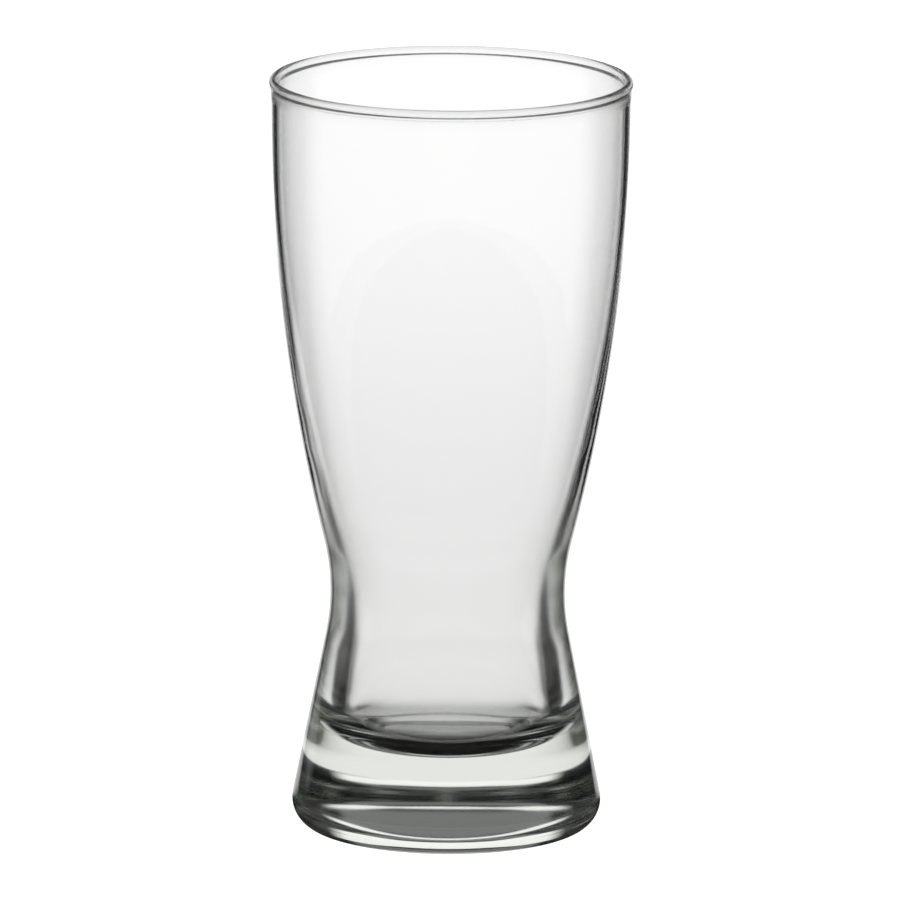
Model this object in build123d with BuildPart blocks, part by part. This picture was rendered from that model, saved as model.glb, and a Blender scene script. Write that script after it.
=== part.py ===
from build123d import *
from math import acos, asin, atan2, cos, hypot, radians, sin, tan
import os

# Pilsner glass with a pinched waist and a heavy base: one moulding of clear soda-lime glass.
# Millimetres, +Z up, origin on the axis at the level that the glass stands on.
# All zones are revolved from one half-section and cut on level planes, so they meet face to face.

# Outside
glass_height = 149.0
mouth_radius = 35.1     # wall under the bead
mouth_straight = 1.4    # upright stretch between the rim and the curve of the bowl
waist_radius = 22.95
waist_height = 47.0
waist_bend = 42.5       # radius of the hollow curve of the waist
foot_radius = 30.2
heel_radius = 5.7
bearing_width = 0.8     # flat ring that the glass stands on
punt_depth = 3.1        # hollow under the base, inside the bearing ring

# Inside
mouth_wall = 1.2
bead_proud = 0.35       # how far the rim's bead stands out on each side of the wall
bead_blend = 4.0        # radius of the hollow curve by which the wall thickens into the bead
lip_length = 18.5       # height of the upper part of the bowl, where the wall is even
lip_bend = 410.0        # radius of the inside curve of that part
neck_inset = 4.27       # narrowest radius inside, less than the narrowest radius outside
neck_drop = 5.7         # narrowest level inside, below the narrowest level outside
neck_bend = 48.0        # radius of the inside curve there
well_taper = 5.2        # degrees by which the side of the well leans less than the side of the foot
floor_height = 16.5     # thickness of the solid base
floor_fillet = 8.3

# Zones: the foot ends where the corner of the well does
waist_top = 72.0


def on_circle(centre, radius, angle):
    """Point of a circle in the section plane, at an angle in radians from the outward direction."""
    return (centre[0] + radius * cos(angle), centre[1] + radius * sin(angle))


def bowl_end(waist_centre, bend, top, lean):
    """Point where a bowl arc that leaves its top at a lean in radians runs into the waist's hollow arc."""
    across = top[0] - waist_centre[0]
    rise = top[1] - waist_centre[1]
    outward = across * cos(lean) - rise * sin(lean)
    bowl_bend = (across**2 + rise**2 - bend**2) / (2 * (outward + bend))
    bowl_centre = on_circle(top, -bowl_bend, -lean)
    direction = atan2(bowl_centre[1] - waist_centre[1], bowl_centre[0] - waist_centre[0])
    return on_circle(waist_centre, bend, direction)


# Rim: the bead is a round section astride the wall, with a long hollow curve under it on each side
mouth_inside = mouth_radius - mouth_wall
bead_radius = mouth_wall / 2 + bead_proud
bead_centre = (mouth_radius - mouth_wall / 2, glass_height - bead_radius)
blend_reach = bead_radius + bead_blend
blend_angle = acos((mouth_wall / 2 + bead_blend) / blend_reach)
bead_bottom = bead_centre[1] - blend_reach * sin(blend_angle)
bead_outside = on_circle(bead_centre, bead_radius, -blend_angle)
bead_inside = on_circle(bead_centre, -bead_radius, blend_angle)
bowl_top = bead_bottom - mouth_straight

# Outside: a straight side that touches the round heel and the hollow waist
waist_centre = (waist_radius + waist_bend, waist_height)
bearing_radius = foot_radius - heel_radius
heel_centre = (bearing_radius, heel_radius)
across = waist_centre[0] - heel_centre[0]
rise = waist_centre[1] - heel_centre[1]
foot_lean = atan2(rise, across) - acos((waist_bend + heel_radius) / hypot(across, rise))
side_bottom = on_circle(heel_centre, heel_radius, foot_lean)
side_top = on_circle(waist_centre, -waist_bend, foot_lean)
bowl_start = bowl_end(waist_centre, waist_bend, (mouth_radius, bowl_top), 0)
punt_radius = bearing_radius - bearing_width

# Inside: below the neck, the well's side runs down into the rounded corner of the floor
lip_lean = asin(lip_length / lip_bend)
lip_end = on_circle((mouth_inside - lip_bend, bowl_top), lip_bend, -lip_lean)
neck_centre = (waist_radius - neck_inset + neck_bend, waist_height - neck_drop)
neck_top = bowl_end(neck_centre, neck_bend, lip_end, lip_lean)
well_lean = foot_lean - radians(well_taper)
well_side_top = on_circle(neck_centre, -neck_bend, well_lean)
foot_top = floor_height + floor_fillet
corner_drop = well_side_top[1] - foot_top
corner_reach = well_side_top[0] + corner_drop * tan(well_lean) - floor_fillet / cos(well_lean)
well_side_bottom = on_circle((corner_reach, foot_top), floor_fillet, well_lean)

with BuildSketch(Plane.XZ) as glass_section:
    with BuildLine():
        axis_line = Line((0, floor_height), (0, punt_depth))
        bearing = Line((punt_radius, 0), (bearing_radius, 0))
        TangentArc(axis_line @ 1, bearing @ 0, tangent=(1, 0))
        heel = TangentArc(bearing @ 1, side_bottom, tangent=bearing % 1)
        side = Line(heel @ 1, side_top)
        waist_arc = TangentArc(side @ 1, bowl_start, tangent=side % 1)
        bowl_arc = TangentArc(waist_arc @ 1, (mouth_radius, bowl_top), tangent=waist_arc % 1)
        outer_wall = Line(bowl_arc @ 1, (mouth_radius, bead_bottom))
        outer_blend = TangentArc(outer_wall @ 1, bead_outside, tangent=outer_wall % 1)
        bead = ThreePointArc(outer_blend @ 1, (bead_centre[0], glass_height), bead_inside)
        inner_blend = TangentArc(bead @ 1, (mouth_inside, bead_bottom), tangent=bead % 1)
        inner_wall = Line(inner_blend @ 1, (mouth_inside, bowl_top))
        lip = TangentArc(inner_wall @ 1, lip_end, tangent=inner_wall % 1)
        inner_bowl = TangentArc(lip @ 1, neck_top, tangent=lip % 1)
        neck = TangentArc(inner_bowl @ 1, well_side_top, tangent=inner_bowl % 1)
        well_side = Line(neck @ 1, well_side_bottom)
        corner = TangentArc(well_side @ 1, (corner_reach, floor_height), tangent=well_side % 1)
        Line(corner @ 1, axis_line @ 0)
    make_face()

# Foot: solid base with the floor and the rounded corner of the well, heel, bearing ring and punt
with BuildPart() as foot:
    revolve(glass_section.sketch, axis=Axis.Z)
    split(bisect_by=Plane.XY.offset(foot_top), keep=Keep.BOTTOM)
foot.part.label = "foot"

# Waist: the thick wall round the narrow part of the well
with BuildPart() as waist:
    revolve(glass_section.sketch, axis=Axis.Z)
    split(bisect_by=Plane.XY.offset(foot_top), keep=Keep.TOP)
    split(bisect_by=Plane.XY.offset(waist_top), keep=Keep.BOTTOM)
waist.part.label = "waist"

# Bowl: the wall that thins upwards to the mouth
with BuildPart() as bowl:
    revolve(glass_section.sketch, axis=Axis.Z)
    split(bisect_by=Plane.XY.offset(waist_top), keep=Keep.TOP)
    split(bisect_by=Plane.XY.offset(bead_bottom), keep=Keep.BOTTOM)
bowl.part.label = "bowl"

# Rim bead: the fire-polished roll at the mouth
with BuildPart() as rim_bead:
    revolve(glass_section.sketch, axis=Axis.Z)
    split(bisect_by=Plane.XY.offset(bead_bottom), keep=Keep.TOP)
rim_bead.part.label = "rim_bead"

os.makedirs("parts", exist_ok=True)
for zone in (foot, waist, bowl, rim_bead):
    export_step(zone.part, f"parts/{zone.part.label}.step")
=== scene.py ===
"""Studio scene of a pilsner glass with a pinched waist and a heavy base.

The real glass is one moulding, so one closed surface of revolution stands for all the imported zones:
cut faces between touching zones would show as mirrors inside clear glass.
Metres, +Z up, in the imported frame. Azimuths are measured from +Y towards +X.
"""
import logging
import math
from dataclasses import dataclass
from enum import Enum
from typing import Any, Union

import bpy
import numpy as np
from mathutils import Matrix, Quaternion, Vector


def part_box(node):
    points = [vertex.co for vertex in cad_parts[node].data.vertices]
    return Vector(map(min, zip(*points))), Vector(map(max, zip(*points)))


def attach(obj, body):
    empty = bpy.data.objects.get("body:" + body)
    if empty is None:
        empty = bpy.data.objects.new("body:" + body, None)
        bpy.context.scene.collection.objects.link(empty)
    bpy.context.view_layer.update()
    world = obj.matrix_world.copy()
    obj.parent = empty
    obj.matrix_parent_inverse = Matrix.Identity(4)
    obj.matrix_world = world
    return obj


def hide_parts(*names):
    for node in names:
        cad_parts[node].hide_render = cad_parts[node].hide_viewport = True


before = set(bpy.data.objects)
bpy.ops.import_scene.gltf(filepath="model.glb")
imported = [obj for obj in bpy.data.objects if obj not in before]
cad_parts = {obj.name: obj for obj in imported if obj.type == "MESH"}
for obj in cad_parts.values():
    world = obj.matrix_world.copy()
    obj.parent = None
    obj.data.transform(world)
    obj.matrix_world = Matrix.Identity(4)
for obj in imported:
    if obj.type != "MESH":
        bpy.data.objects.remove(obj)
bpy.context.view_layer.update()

LOG = logging.getLogger("pilsner_glass")

# How often light may pass through glass, and how often it may mirror, on its way to the camera
GLASS_BOUNCES = 32
MIRROR_BOUNCES = 16

Point = tuple[float, float]


class Zone(Enum):
    """Zones of the moulding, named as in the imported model."""

    FOOT = "foot"
    WAIST = "waist"
    BOWL = "bowl"
    RIM_BEAD = "rim_bead"


class Operation(Enum):
    """Math node operations behind the shader expressions."""

    ADD = "ADD"
    SUBTRACT = "SUBTRACT"
    MULTIPLY = "MULTIPLY"
    MAXIMUM = "MAXIMUM"
    ABSOLUTE = "ABSOLUTE"
    WRAP = "FLOORED_MODULO"
    ARCTAN2 = "ARCTAN2"
    ARCSINE = "ARCSINE"
    SQUARE_ROOT = "SQRT"


class Signal:
    """A shader socket that carries a value: its operators add Math nodes."""

    def __init__(self, sheet: "ShaderSheet", socket: bpy.types.NodeSocket) -> None:
        """Keeps the socket and the sheet that its node is on."""
        self.sheet = sheet
        self.socket = socket

    def __add__(self, other: "Value") -> "Signal":
        """Sum."""
        return self.sheet.maths(Operation.ADD, self, other)

    __radd__ = __add__

    def __sub__(self, other: "Value") -> "Signal":
        """Difference."""
        return self.sheet.maths(Operation.SUBTRACT, self, other)

    def __rsub__(self, other: "Value") -> "Signal":
        """Difference from a number."""
        return self.sheet.maths(Operation.SUBTRACT, other, self)

    def __mul__(self, other: "Value") -> "Signal":
        """Product."""
        return self.sheet.maths(Operation.MULTIPLY, self, other)

    __rmul__ = __mul__

    def __mod__(self, other: "Value") -> "Signal":
        """Remainder, never negative."""
        return self.sheet.maths(Operation.WRAP, self, other)

    def __abs__(self) -> "Signal":
        """Size without its sign."""
        return self.sheet.maths(Operation.ABSOLUTE, self)

    def __or__(self, other: "Value") -> "Signal":
        """Larger of the two."""
        return self.sheet.maths(Operation.MAXIMUM, self, other)

    __ror__ = __or__

    def rise(self, start: float, end: float) -> "Signal":
        """Smooth step.

        Args:
            start: value at which the step leaves 0.
            end: value at which the step reaches 1.

        Returns:
            Signal from 0 to 1.
        """
        node = self.sheet.node(
            "ShaderNodeMapRange",
            {"interpolation_type": "SMOOTHSTEP"},
            {"Value": self, "From Min": start, "From Max": end, "To Min": 0.0, "To Max": 1.0},
        )
        return Signal(self.sheet, node.outputs["Result"])

    def fall(self, start: float, end: float) -> "Signal":
        """Smooth step from 1 at start down to 0 at end."""
        return 1.0 - self.rise(start, end)


Value = Union[Signal, float]


class ShaderSheet:
    """Node tree of one material or world, emptied and filled again."""

    def __init__(self, owner: Union[bpy.types.Material, bpy.types.World]) -> None:
        """Empties the owner's node tree.

        Args:
            owner: material or world to fill.
        """
        owner.use_nodes = True
        self.tree = owner.node_tree
        self.tree.nodes.clear()

    def node(self, kind: str, settings: dict[str, Any], sockets: dict[Any, Any]) -> bpy.types.Node:
        """Adds one node.

        Args:
            kind: Blender's type name of the node.
            settings: the node's own properties, set first.
            sockets: values, sockets or signals for its inputs, by name or number.

        Returns:
            The node.
        """
        node = self.tree.nodes.new(kind)
        for name, value in settings.items():
            setattr(node, name, value)
        for name, value in sockets.items():
            source = value.socket if isinstance(value, Signal) else value
            if isinstance(source, bpy.types.NodeSocket):
                self.tree.links.new(source, node.inputs[name])
            else:
                node.inputs[name].default_value = source
        return node

    def maths(self, operation: Operation, *values: Value) -> Signal:
        """Adds a Math node on one or two values and returns its result."""
        node = self.node("ShaderNodeMath", {"operation": operation.value}, dict(enumerate(values)))
        return Signal(self, node.outputs[0])

    def parts(self, vector: bpy.types.NodeSocket) -> tuple[Signal, Signal, Signal]:
        """Splits a vector socket into its X, Y and Z signals."""
        node = self.node("ShaderNodeSeparateXYZ", {}, {0: vector})
        return tuple(Signal(self, output) for output in node.outputs)

    def mix(self, factor: Value, first: bpy.types.Node, second: bpy.types.Node) -> bpy.types.Node:
        """Mixes two shader nodes: the first at factor 0, the second at factor 1."""
        sockets = {0: factor, 1: first.outputs[0], 2: second.outputs[0]}
        return self.node("ShaderNodeMixShader", {}, sockets)


def azimuth_of(across: Signal, along: Signal) -> Signal:
    """Azimuth in radians of a place or a direction, from its parts in X and Y."""
    return across.sheet.maths(Operation.ARCTAN2, across, along)


@dataclass(frozen=True)
class ClearGlass:
    """Fire-polished soda-lime glass with a faint grey-green body colour.

    The base, the waist and the bead are softer to look through than the clear bowl. Each of their
    pairs of heights says where the softness starts to change and where it has changed. Haze sets in
    between the haze patch's two values of the ripples' noise.
    """

    slot: str = "clear_glass"
    refraction: float = 1.52
    body_colour: tuple[float, float, float] = (0.82, 0.89, 0.75)
    body_density: float = 7.0
    base_softness: float = 0.08
    base_fade: Point = (0.058, 0.075)
    waist_softness: float = 0.02
    waist_start: Point = (0.028, 0.038)
    bead_softness: float = 0.17
    bead_start: Point = (0.144, 0.1465)
    haze: float = 0.012
    haze_patch: Point = (0.5, 0.8)
    ripple_size: float = 0.018
    ripple_height: float = 0.000003

    def softness(self, level: Signal, ripple: Signal) -> Signal:
        """Works out the roughness: base and waist, faded out into the bowl, then bead and patchy haze.

        Args:
            level: height above the foot's bearing ring.
            ripple: noise of the ripples, from 0 to 1.

        Returns:
            The roughness.
        """
        lower = self.base_softness + self.waist_softness * level.rise(*self.waist_start)
        bead = self.bead_softness * level.rise(*self.bead_start)
        haze = self.haze * ripple.rise(*self.haze_patch)
        return lower * level.fall(*self.base_fade) + bead + haze

    def material(self) -> bpy.types.Material:
        """Makes the glass: refraction, softness by height, shallow ripples and absorption.

        Returns:
            The material.
        """
        material = bpy.data.materials.new(self.slot)
        sheet = ShaderSheet(material)
        place = sheet.node("ShaderNodeTexCoord", {}, {}).outputs["Object"]
        cloud = sheet.node("ShaderNodeTexNoise", {}, {"Vector": place, "Scale": 1 / self.ripple_size})
        ripple = Signal(sheet, cloud.outputs[0])
        level = sheet.parts(place)[2]
        bump = sheet.node(
            "ShaderNodeBump", {}, {"Height": ripple, "Strength": 1.0, "Distance": self.ripple_height}
        )
        body = sheet.node(
            "ShaderNodeBsdfPrincipled",
            {},
            {
                "Base Color": (1.0, 1.0, 1.0, 1.0),
                "Roughness": self.softness(level, ripple),
                "IOR": self.refraction,
                "Transmission Weight": 1.0,
                "Normal": bump.outputs[0],
            },
        )
        depth = sheet.node(
            "ShaderNodeVolumeAbsorption",
            {},
            {"Color": (*self.body_colour, 1.0), "Density": self.body_density},
        )
        sheet.node(
            "ShaderNodeOutputMaterial", {}, {"Surface": body.outputs[0], "Volume": depth.outputs[0]}
        )
        return material


def on_circle(centre: Point, radius: float, angle: float) -> Point:
    """Point of a circle in the section, at an angle in radians from the outward direction."""
    return centre[0] + radius * math.cos(angle), centre[1] + radius * math.sin(angle)


def arc(centre: Point, radius: float, start: float, end: float, steps: int) -> np.ndarray:
    """Samples an arc of the section: centre + radius * (cos a, sin a), with a even from start to end.

    Args:
        centre: radius and height of the arc's centre.
        radius: radius of the arc.
        start: first angle in radians, from the outward direction.
        end: last angle.
        steps: number of equal steps.

    Returns:
        Array of steps points, without the first one, as radius and height.
    """
    angle = np.linspace(start, end, steps + 1)[1:]
    return np.stack([centre[0] + radius * np.cos(angle), centre[1] + radius * np.sin(angle)], axis=1)


def line(start: Point, end: Point, steps: int) -> np.ndarray:
    """Samples a straight stretch of the section in equal steps, without its first point."""
    share = np.linspace(0.0, 1.0, steps + 1)[1:, None]
    return np.asarray(start) * (1 - share) + np.asarray(end) * share


@dataclass
class GlassSection:
    """Half-section of the moulding, of lines and arcs that run into each other.

    The last fields are the numbers of steps in which the stretches are sampled.
    """

    height: float
    mouth_radius: float
    bead_proud: float
    foot_radius: float
    foot_top: float
    mouth_straight: float = 0.0014
    waist_radius: float = 0.02295
    waist_height: float = 0.047
    waist_bend: float = 0.0425
    heel_radius: float = 0.0057
    bearing_width: float = 0.0008
    punt_depth: float = 0.0031
    punt_edge: float = 0.0002
    mouth_wall: float = 0.0012
    bead_blend: float = 0.004
    lip_length: float = 0.0185
    lip_bend: float = 0.41
    neck_inset: float = 0.00427
    neck_drop: float = 0.0057
    neck_bend: float = 0.048
    well_taper: float = math.radians(5.2)
    floor_fillet: float = 0.0083
    curve_steps: int = 26
    punt_steps: int = 30
    ring_steps: int = 6
    side_steps: int = 20
    bowl_steps: int = 32
    wall_steps: int = 5
    blend_steps: int = 7
    lip_steps: int = 12
    well_steps: int = 10
    floor_steps: int = 16

    @classmethod
    def from_frame(cls) -> "GlassSection":
        """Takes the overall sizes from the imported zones.

        Returns:
            The section.
        """
        bowl_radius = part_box(Zone.BOWL.value)[1].x
        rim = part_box(Zone.RIM_BEAD.value)[1]
        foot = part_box(Zone.FOOT.value)[1]
        return cls(
            height=rim.z,
            mouth_radius=bowl_radius,
            bead_proud=rim.x - bowl_radius,
            foot_radius=foot.x,
            foot_top=foot.z,
        )

    @staticmethod
    def bowl_arc(waist: Point, bend: float, top: Point, lean: float) -> tuple[Point, float, float]:
        """Finds the bowl arc that leaves its top at a lean and touches the hollow arc of the waist.

        Args:
            waist: centre of the waist's arc.
            bend: radius of the waist's arc.
            top: upper end of the bowl's arc.
            lean: lean of the wall there, in radians.

        Returns:
            Centre and radius of the bowl's arc, and its lean in radians where it meets the waist.
        """
        across, rise = top[0] - waist[0], top[1] - waist[1]
        outward = across * math.cos(lean) - rise * math.sin(lean)
        radius = (across**2 + rise**2 - bend**2) / (2 * (outward + bend))
        centre = on_circle(top, -radius, -lean)
        return centre, radius, math.atan2(centre[1] - waist[1], waist[0] - centre[0])

    def outside(self) -> list[np.ndarray]:
        """Samples the contour from the axis under the base to the wall under the rim.

        Returns:
            Stretches of points: punt, its crisp edge, bearing ring, heel, side, waist and bowl.
        """
        bearing = self.foot_radius - self.heel_radius
        punt = bearing - self.bearing_width
        dome = (punt**2 + self.punt_depth**2) / (2 * self.punt_depth)
        dome_centre = (0.0, self.punt_depth - dome)
        dome_end = math.acos(punt / dome)
        dome_edge = dome_end + self.punt_edge / dome
        heel = (bearing, self.heel_radius)
        waist = (self.waist_radius + self.waist_bend, self.waist_height)
        lean = self.foot_lean()
        side_bottom = on_circle(heel, self.heel_radius, lean)
        side_top = on_circle(waist, -self.waist_bend, lean)
        rim = (self.mouth_radius, self.bowl_top())
        bowl, bend, bowl_lean = self.bowl_arc(waist, self.waist_bend, rim, 0.0)
        return [
            arc(dome_centre, dome, math.pi / 2, dome_edge, self.punt_steps),
            arc(dome_centre, dome, dome_edge, dome_end, 1),
            line((punt, 0.0), (bearing, 0.0), self.ring_steps),
            arc(heel, self.heel_radius, -math.pi / 2, lean, self.curve_steps),
            line(side_bottom, side_top, self.side_steps),
            arc(waist, -self.waist_bend, lean, -bowl_lean, self.curve_steps),
            arc(bowl, bend, -bowl_lean, 0.0, self.bowl_steps),
        ]

    def rim(self) -> list[np.ndarray]:
        """Samples the contour over the rim: a round bead astride the wall, which thickens into it.

        Returns:
            Stretches of points: outer wall, hollow curve, bead, hollow curve and inner wall.
        """
        inside = self.mouth_radius - self.mouth_wall
        middle = self.mouth_radius - self.mouth_wall / 2
        bead = self.mouth_wall / 2 + self.bead_proud
        turn = self.blend_angle()
        bottom = self.bead_bottom()
        outer = (self.mouth_radius + self.bead_blend, bottom)
        inner = (inside - self.bead_blend, bottom)
        return [
            line((self.mouth_radius, self.bowl_top()), (self.mouth_radius, bottom), self.wall_steps),
            arc(outer, self.bead_blend, math.pi, math.pi - turn, self.blend_steps),
            arc((middle, self.height - bead), bead, -turn, math.pi + turn, self.curve_steps),
            arc(inner, self.bead_blend, turn, 0.0, self.blend_steps),
            line((inside, bottom), (inside, self.bowl_top()), self.wall_steps),
        ]

    def inside(self) -> list[np.ndarray]:
        """Samples the contour from the wall under the rim down to the axis at the floor of the well.

        Returns:
            Stretches of points: upper and lower bowl, neck, side of the well, corner and floor.
        """
        top = (self.mouth_radius - self.mouth_wall, self.bowl_top())
        lip = (top[0] - self.lip_bend, top[1])
        lip_lean = math.asin(self.lip_length / self.lip_bend)
        lip_end = on_circle(lip, self.lip_bend, -lip_lean)
        neck = (self.waist_radius - self.neck_inset + self.neck_bend, self.waist_height - self.neck_drop)
        bowl, bend, bowl_lean = self.bowl_arc(neck, self.neck_bend, lip_end, lip_lean)
        lean = self.foot_lean() - self.well_taper
        side_top = on_circle(neck, -self.neck_bend, lean)
        drop = side_top[1] - self.foot_top
        reach = side_top[0] + drop * math.tan(lean) - self.floor_fillet / math.cos(lean)
        corner = (reach, self.foot_top)
        side_bottom = on_circle(corner, self.floor_fillet, lean)
        floor = self.foot_top - self.floor_fillet
        return [
            arc(lip, self.lip_bend, 0.0, -lip_lean, self.lip_steps),
            arc(bowl, bend, -lip_lean, -bowl_lean, self.curve_steps),
            arc(neck, -self.neck_bend, -bowl_lean, lean, self.curve_steps),
            line(side_top, side_bottom, self.well_steps),
            arc(corner, self.floor_fillet, lean, -math.pi / 2, self.curve_steps),
            line((reach, floor), (0.0, floor), self.floor_steps),
        ]

    def foot_lean(self) -> float:
        """Finds the lean of the straight side that touches both the heel's arc and the waist's.

        Returns:
            The lean in radians.
        """
        across = self.waist_radius + self.waist_bend - self.foot_radius + self.heel_radius
        rise = self.waist_height - self.heel_radius
        touch = math.acos((self.waist_bend + self.heel_radius) / math.hypot(across, rise))
        return math.atan2(rise, across) - touch

    def blend_angle(self) -> float:
        """Turn of the hollow curve that touches both the upright wall and the bead, in radians."""
        half_wall = self.mouth_wall / 2
        return math.acos((half_wall + self.bead_blend) / (half_wall + self.bead_proud + self.bead_blend))

    def bead_bottom(self) -> float:
        """Height at which the hollow curve leaves the upright wall."""
        bead = self.mouth_wall / 2 + self.bead_proud
        return self.height - bead - (bead + self.bead_blend) * math.sin(self.blend_angle())

    def bowl_top(self) -> float:
        """Height at which the bowl's curve turns upright."""
        return self.bead_bottom() - self.mouth_straight


@dataclass
class GlassBody:
    """The moulding: its section turned round the axis, with the faint waves of a blown wall.

    The twists of the waves are in radians per metre of height.
    """

    section: GlassSection
    finish: ClearGlass
    name: str = "glass_body"
    columns: int = 288
    wave_height: float = 0.00001
    wave_twist: float = 600.0
    wave_counter_twist: float = 950.0
    wave_low: float = 0.03
    wave_high: float = 0.12

    def surface(self) -> tuple[np.ndarray, np.ndarray]:
        """Works out the closed surface.

        A point is (r cos a, r sin a, z), where r and z follow the section and a goes round the axis.
        Between the low and the high level the inner wall's radius also waves by about a hundredth of a
        millimetre: height * (sin(2a + twist * z) + sin(3a - counter_twist * z) / 2), faded out at both
        ends.

        Returns:
            Vertices, row by row from the underside to the floor of the well and then the two poles,
            and quads, where a triangle at a pole repeats its last corner.
        """
        outer = np.concatenate(self.section.outside() + self.section.rim())
        inner = np.concatenate(self.section.inside())
        rows = np.concatenate([outer, inner[:-1]])
        is_inner = np.arange(len(rows)) >= len(outer)
        angle = np.linspace(0.0, 2 * math.pi, self.columns, endpoint=False)[None, :]
        radius, level = rows[:, :1], rows[:, 1:]
        span = np.clip((level - self.wave_low) / (self.wave_high - self.wave_low), 0.0, 1.0)
        fade = is_inner[:, None] * np.sin(math.pi * span) ** 2
        wave = np.sin(2 * angle + self.wave_twist * level)
        wave = wave + np.sin(3 * angle - self.wave_counter_twist * level) / 2
        radius = radius + self.wave_height * fade * wave
        height = np.broadcast_to(level, radius.shape)
        grid = np.stack([radius * np.cos(angle), radius * np.sin(angle), height], axis=-1)
        underside = (0.0, 0.0, self.section.punt_depth)
        floor = (0.0, 0.0, inner[-1][1])
        vertices = np.concatenate([grid.reshape(-1, 3), [underside, floor]])
        return vertices, self.faces(len(rows))

    def faces(self, rows: int) -> np.ndarray:
        """Joins each ring to the next one, and the end rings to the poles.

        Args:
            rows: number of rings.

        Returns:
            Corners of each face, four to a row of the array, facing outwards.
        """
        column = np.arange(self.columns)
        following = np.roll(column, -1)
        start = np.arange(rows - 1)[:, None] * self.columns
        upper = start + self.columns
        band = np.stack([start + column, start + following, upper + following, upper + column], axis=-1)
        last = (rows - 1) * self.columns
        underside = np.full(self.columns, rows * self.columns)
        floor = underside + 1
        bottom = np.stack([underside, following, column, column], axis=-1)
        top = np.stack([floor, last + column, last + following, last + following], axis=-1)
        return np.concatenate([band.reshape(-1, 4), bottom, top])

    def build(self) -> bpy.types.Object:
        """Makes the object, dresses it and ties it to the frame.

        Returns:
            The glass.
        """
        vertices, faces = self.surface()
        is_triangle = faces[:, 2] == faces[:, 3]
        sizes = np.where(is_triangle, 3, 4)
        corner_used = np.arange(4)[None, :] < sizes[:, None]
        mesh = bpy.data.meshes.new(self.name)
        mesh.vertices.add(len(vertices))
        mesh.vertices.foreach_set("co", vertices.ravel())
        mesh.loops.add(int(sizes.sum()))
        mesh.loops.foreach_set("vertex_index", faces[corner_used])
        mesh.polygons.add(len(faces))
        mesh.polygons.foreach_set("loop_start", np.concatenate([[0], np.cumsum(sizes)[:-1]]))
        mesh.update(calc_edges=True)
        mesh.validate()
        mesh.shade_smooth()
        mesh.materials.append(self.finish.material())
        glass = bpy.data.objects.new(self.name, mesh)
        bpy.context.scene.collection.objects.link(glass)
        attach(glass, "root")
        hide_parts(*(zone.value for zone in Zone))
        return glass


@dataclass(frozen=True)
class Sector:
    """A span of azimuth about its middle, in degrees, with an edge that is soft to both sides."""

    middle: float
    half_width: float
    soft: float

    def window(self, azimuth: Signal) -> Signal:
        """Fades the span in and out by azimuth.

        Args:
            azimuth: signal in radians.

        Returns:
            1 inside the span, and 0 outside.
        """
        edge = math.radians(self.half_width - self.soft), math.radians(self.half_width + self.soft)
        turned = (azimuth + (math.pi - math.radians(self.middle))) % (2 * math.pi)
        return abs(turned - math.pi).fall(*edge)


@dataclass(frozen=True)
class Panel:
    """A low panel of soft light."""

    sector: Sector
    level: float

    def light(self, azimuth: Signal) -> Signal:
        """The panel's level inside its sector, and 0 outside, from an azimuth in radians."""
        return self.level * self.sector.window(azimuth)


@dataclass(frozen=True)
class Lane:
    """A lit lane on the floor, in a sector that spreads from an apex in front of the glass.

    Up to its start it has the near share of its level. From there it grows to the whole level at its
    reach, and it is gone at its end. Its limit, in degrees of azimuth about the glass, cuts it off to
    both sides. By default, the end and the limit lie beyond the lane and cut nothing.
    """

    sector: Sector
    level: float
    near: float
    reach: float
    start: float = 0.05
    end: float = 50.0
    end_fade: float = 0.9
    apex: float = 0.0
    limit: float = 200.0
    limit_soft: float = 6.0

    def light(self, across: Signal, along: Signal, radius: Signal) -> Signal:
        """Works out the lane's level.

        Args:
            across: place on the floor in X.
            along: place on the floor in Y.
            radius: distance from the axis of the glass.

        Returns:
            The level in the lane, and 0 outside.
        """
        edge = math.radians(self.limit - self.limit_soft), math.radians(self.limit + self.limit_soft)
        share = self.near + (1 - self.near) * radius.rise(self.start, self.reach)
        share = share * abs(azimuth_of(across, along)).fall(*edge)
        share = share * radius.fall(self.end_fade * self.end, self.end)
        return self.level * self.sector.window(azimuth_of(across, along + self.apex)) * share


@dataclass(frozen=True)
class BaseShade:
    """Shade of the heavy base on the floor, with the light that gets past it.

    Light from behind glows in the rear of the shade, and a bright ring lies at the front of the base.
    Each pair of places says where a fade starts and where it ends, in metres.
    """

    radius: Point = (0.03, 0.044)
    level: float = 0.005
    glow: float = 0.55
    glow_reach: Point = (-0.004, 0.026)
    glow_width: Point = (0.014, 0.024)
    ring: float = 0.5
    ring_inside: Point = (0.029, 0.032)
    ring_outside: Point = (0.036, 0.041)
    ring_front: Point = (-0.02, -0.005)

    def cover(self, light: Signal, across: Signal, along: Signal, radius: Signal) -> Signal:
        """Lays the shade over the floor's light.

        Args:
            light: level of the floor without the base.
            across: place on the floor in X.
            along: place on the floor in Y.
            radius: distance from the axis of the glass.

        Returns:
            Level of the floor with the base on it.
        """
        glow = along.rise(*self.glow_reach) * abs(across).fall(*self.glow_width)
        shade = self.level + self.glow * glow
        clear = radius.rise(*self.radius)
        ring = radius.rise(*self.ring_inside) * radius.fall(*self.ring_outside)
        ring = self.ring * ring * along.fall(*self.ring_front)
        return shade * (1.0 - clear) + light * clear | ring


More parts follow.
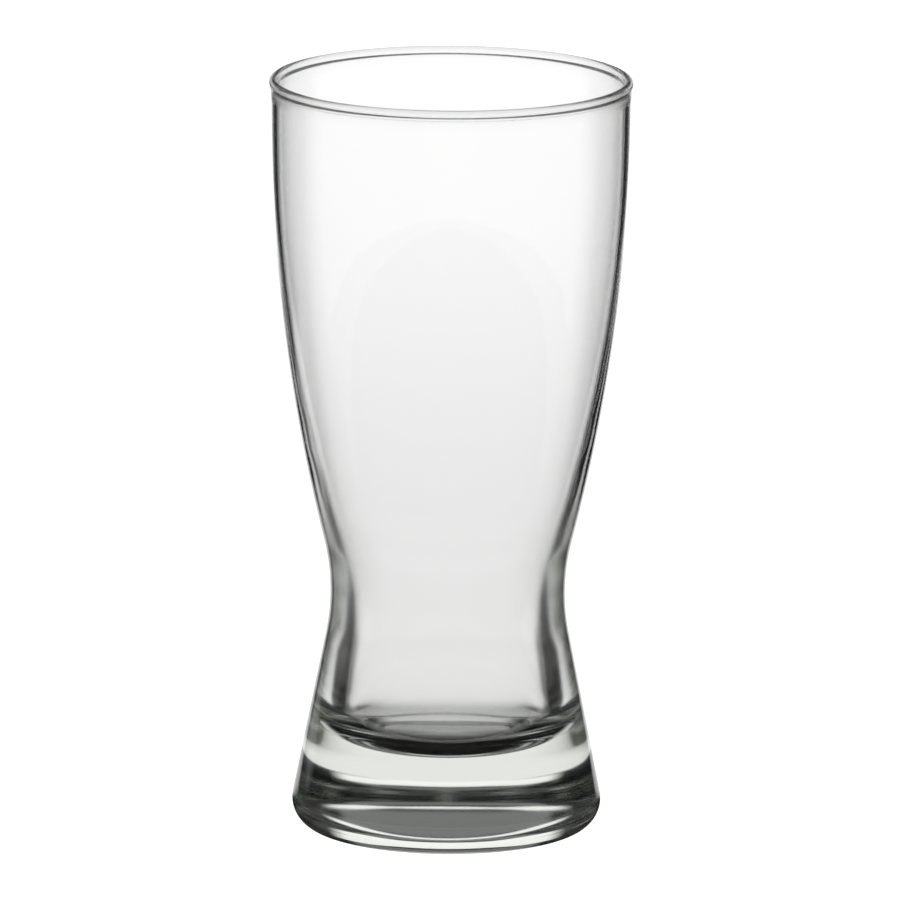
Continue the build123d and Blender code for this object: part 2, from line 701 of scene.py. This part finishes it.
@dataclass(frozen=True)
class SoftBox:
    """A soft box above the low panels, or a pair turned to both sides. Angles are in degrees."""

    half_width: float
    low: float
    high: float
    level: float
    turn: float = 0.0
    soft: float = 3.0

    def light(self, azimuth: Signal, elevation: Signal) -> Signal:
        """Works out the box's light, between its low and its high elevation.

        Args:
            azimuth: signal in radians.
            elevation: signal in radians.

        Returns:
            The box's level inside its edges, and 0 outside.
        """
        soft = math.radians(self.soft)
        half = math.radians(self.half_width)
        across = abs(abs(azimuth) - math.radians(self.turn)).fall(half - soft, half + soft)
        above = elevation.rise(math.radians(self.low) - soft, math.radians(self.low) + soft)
        below = elevation.fall(math.radians(self.high) - soft, math.radians(self.high) + soft)
        return self.level * across * above * below


@dataclass
class Studio:
    """Soft light all round: low panels with dark gaps, soft boxes above, and lit lanes on the floor.

    Levels are shares of the brightest light. Angles are in degrees, and distances in metres.
    """

    panels: tuple[Panel, ...] = (
        Panel(Sector(middle=-0.3, half_width=36.0, soft=6.0), level=1.0),
        Panel(Sector(middle=180.0, half_width=110.0, soft=15.0), level=0.03),
    )
    boxes: tuple[SoftBox, ...] = (
        SoftBox(half_width=30.0, low=13.0, high=40.0, level=0.18),
        SoftBox(half_width=14.0, low=48.0, high=85.0, level=0.38),
        SoftBox(half_width=14.0, low=36.0, high=52.0, level=0.45, turn=110.0),
    )
    lanes: tuple[Lane, ...] = (
        Lane(
            Sector(middle=-0.3, half_width=12.8, soft=1.2),
            level=1.0,
            near=0.86,
            reach=0.75,
            apex=0.22,
            limit=50.0,
        ),
        Lane(
            Sector(middle=180.0, half_width=105.0, soft=8.0),
            level=0.58,
            near=0.45,
            reach=0.3,
        ),
        Lane(
            Sector(middle=-46.0, half_width=11.0, soft=4.0),
            level=0.42,
            near=0.15,
            reach=0.2,
            start=0.13,
            end=0.36,
        ),
    )
    shade: BaseShade = BaseShade()
    panel_top: float = 9.0
    panel_soft: float = 0.6
    panel_wing: float = 4.0
    wing_turn: Point = (10.0, 26.0)
    ceiling: float = 0.02
    gap: float = 0.02
    bright: float = 1.05
    white: float = 1.2
    floor_size: float = 12.0
    floor_drop: float = 0.0002

    def light_world(self) -> None:
        """Lights the scene from all sides, and shows plain white behind the glass.

        By direction: the panels up to their top edge, which rises by the panel's wing to both sides of
        the rear's middle, and the soft boxes and ceiling above it.
        """
        world = bpy.data.worlds.new("studio")
        bpy.context.scene.world = world
        sheet = ShaderSheet(world)
        direction = sheet.node("ShaderNodeTexCoord", {}, {}).outputs["Generated"]
        across, along, up = sheet.parts(direction)
        azimuth = azimuth_of(across, along)
        elevation = sheet.maths(Operation.ARCSINE, up)
        soft = math.radians(self.panel_soft)
        wing = abs(azimuth).rise(*(math.radians(turn) for turn in self.wing_turn))
        top = math.radians(self.panel_top) + math.radians(self.panel_wing) * wing
        above = (elevation - top).rise(-soft, soft)
        light = self.ceiling * above | self.gap
        for panel in self.panels:
            light = light | panel.light(azimuth) * (1.0 - above)
        for box in self.boxes:
            light = light | box.light(azimuth, elevation)
        self.close(sheet, "ShaderNodeOutputWorld", "ShaderNodeBackground", light)

    def paint_floor_light(self) -> bpy.types.Material:
        """Makes the floor's light, painted in by place: the lit lanes, and the base's painted shade
        under the glass.

        Returns:
            The material.
        """
        material = bpy.data.materials.new("floor_painted_light")
        sheet = ShaderSheet(material)
        place = sheet.node("ShaderNodeTexCoord", {}, {}).outputs["Object"]
        across, along, _ = sheet.parts(place)
        radius = sheet.maths(Operation.SQUARE_ROOT, across * across + along * along)
        # Painted light: the lanes of light and the base's shade, with its glow and bright ring, are
        # painted into the floor's own glow.
        light: Value = self.gap
        for lane in self.lanes:
            light = light | lane.light(across, along, radius)
        light = self.shade.cover(light, across, along, radius)
        self.close(sheet, "ShaderNodeOutputMaterial", "ShaderNodeEmission", light)
        return material

    def lay_floor(self) -> bpy.types.Object:
        """Lays the floor that the glass stands on, a hair below it: plain pale white to the camera, and
        painted with lanes of light and the base's shade for the glass.

        Returns:
            The floor.
        """
        half = self.floor_size / 2
        mesh = bpy.data.meshes.new("floor")
        corners = [(-half, -half, 0.0), (half, -half, 0.0), (half, half, 0.0), (-half, half, 0.0)]
        mesh.from_pydata(corners, [], [(0, 1, 2, 3)])
        mesh.materials.append(self.paint_floor_light())
        floor = bpy.data.objects.new("floor", mesh)
        floor.location.z = -self.floor_drop
        bpy.context.scene.collection.objects.link(floor)
        return floor

    def close(self, sheet: ShaderSheet, output: str, kind: str, light: Signal) -> None:
        """Ends a sheet: the studio's light for the glass, and plain white straight from the camera.

        Args:
            sheet: the sheet to end.
            output: type of its output node.
            kind: type of its light nodes.
            light: share of the brightest light that reaches the glass.
        """
        dark, bright, white = (
            sheet.node(kind, {}, {"Color": (1.0, 1.0, 1.0, 1.0), "Strength": level})
            for level in (0.0, self.bright, self.white)
        )
        seen = sheet.node("ShaderNodeLightPath", {}, {}).outputs["Is Camera Ray"]
        both = sheet.mix(Signal(sheet, seen), sheet.mix(light, dark, bright), white)
        sheet.node(output, {}, {"Surface": both.outputs[0]})


@dataclass(frozen=True)
class PhotoCamera:
    """Camera at the photograph's viewing angle; its picture is square."""

    distance: float = 3.5
    pitch: float = math.radians(11.765)
    roll: float = math.radians(0.396)
    aim: tuple[float, float, float] = (0.00026, 0.0, 0.07513)
    focal_pixels: float = 17927.0
    picture_pixels: float = 900.0
    sensor: float = 36.0
    farthest: float = 100.0

    def place(self) -> bpy.types.Object:
        """Makes the scene's camera.

        Returns:
            The camera.
        """
        data = bpy.data.cameras.new("photo_camera")
        data.sensor_width = self.sensor
        data.lens = self.sensor * self.focal_pixels / self.picture_pixels
        data.clip_end = self.farthest
        camera = bpy.data.objects.new("photo_camera", data)
        aim = Vector(self.aim)
        back = Vector((0.0, -math.cos(self.pitch), math.sin(self.pitch)))
        camera.location = aim + back * self.distance
        camera.rotation_mode = "QUATERNION"
        level = (-back).to_track_quat("-Z", "Y")
        camera.rotation_quaternion = level @ Quaternion((0.0, 0.0, 1.0), self.roll)
        bpy.context.scene.collection.objects.link(camera)
        bpy.context.scene.camera = camera
        return camera


def set_light_paths() -> None:
    """Lets light pass the many surfaces of the glass, and shows white as white."""
    scene = bpy.context.scene
    scene.cycles.max_bounces = GLASS_BOUNCES
    scene.cycles.transmission_bounces = GLASS_BOUNCES
    scene.cycles.glossy_bounces = MIRROR_BOUNCES
    scene.view_settings.view_transform = "Standard"


def main() -> None:
    """Builds the glass, its studio and the camera."""
    logging.basicConfig(level=logging.INFO, format="%(name)s: %(message)s")
    glass = GlassBody(GlassSection.from_frame(), ClearGlass()).build()
    LOG.info("%s: %d faces", glass.name, len(glass.data.polygons))
    studio = Studio()
    studio.light_world()
    floor = studio.lay_floor()
    LOG.info("%s: %.0f m across", floor.name, floor.dimensions.x)
    camera = PhotoCamera().place()
    LOG.info("%s: lens %.0f mm", camera.name, camera.data.lens)
    set_light_paths()


if __name__ == "__main__":
    main()
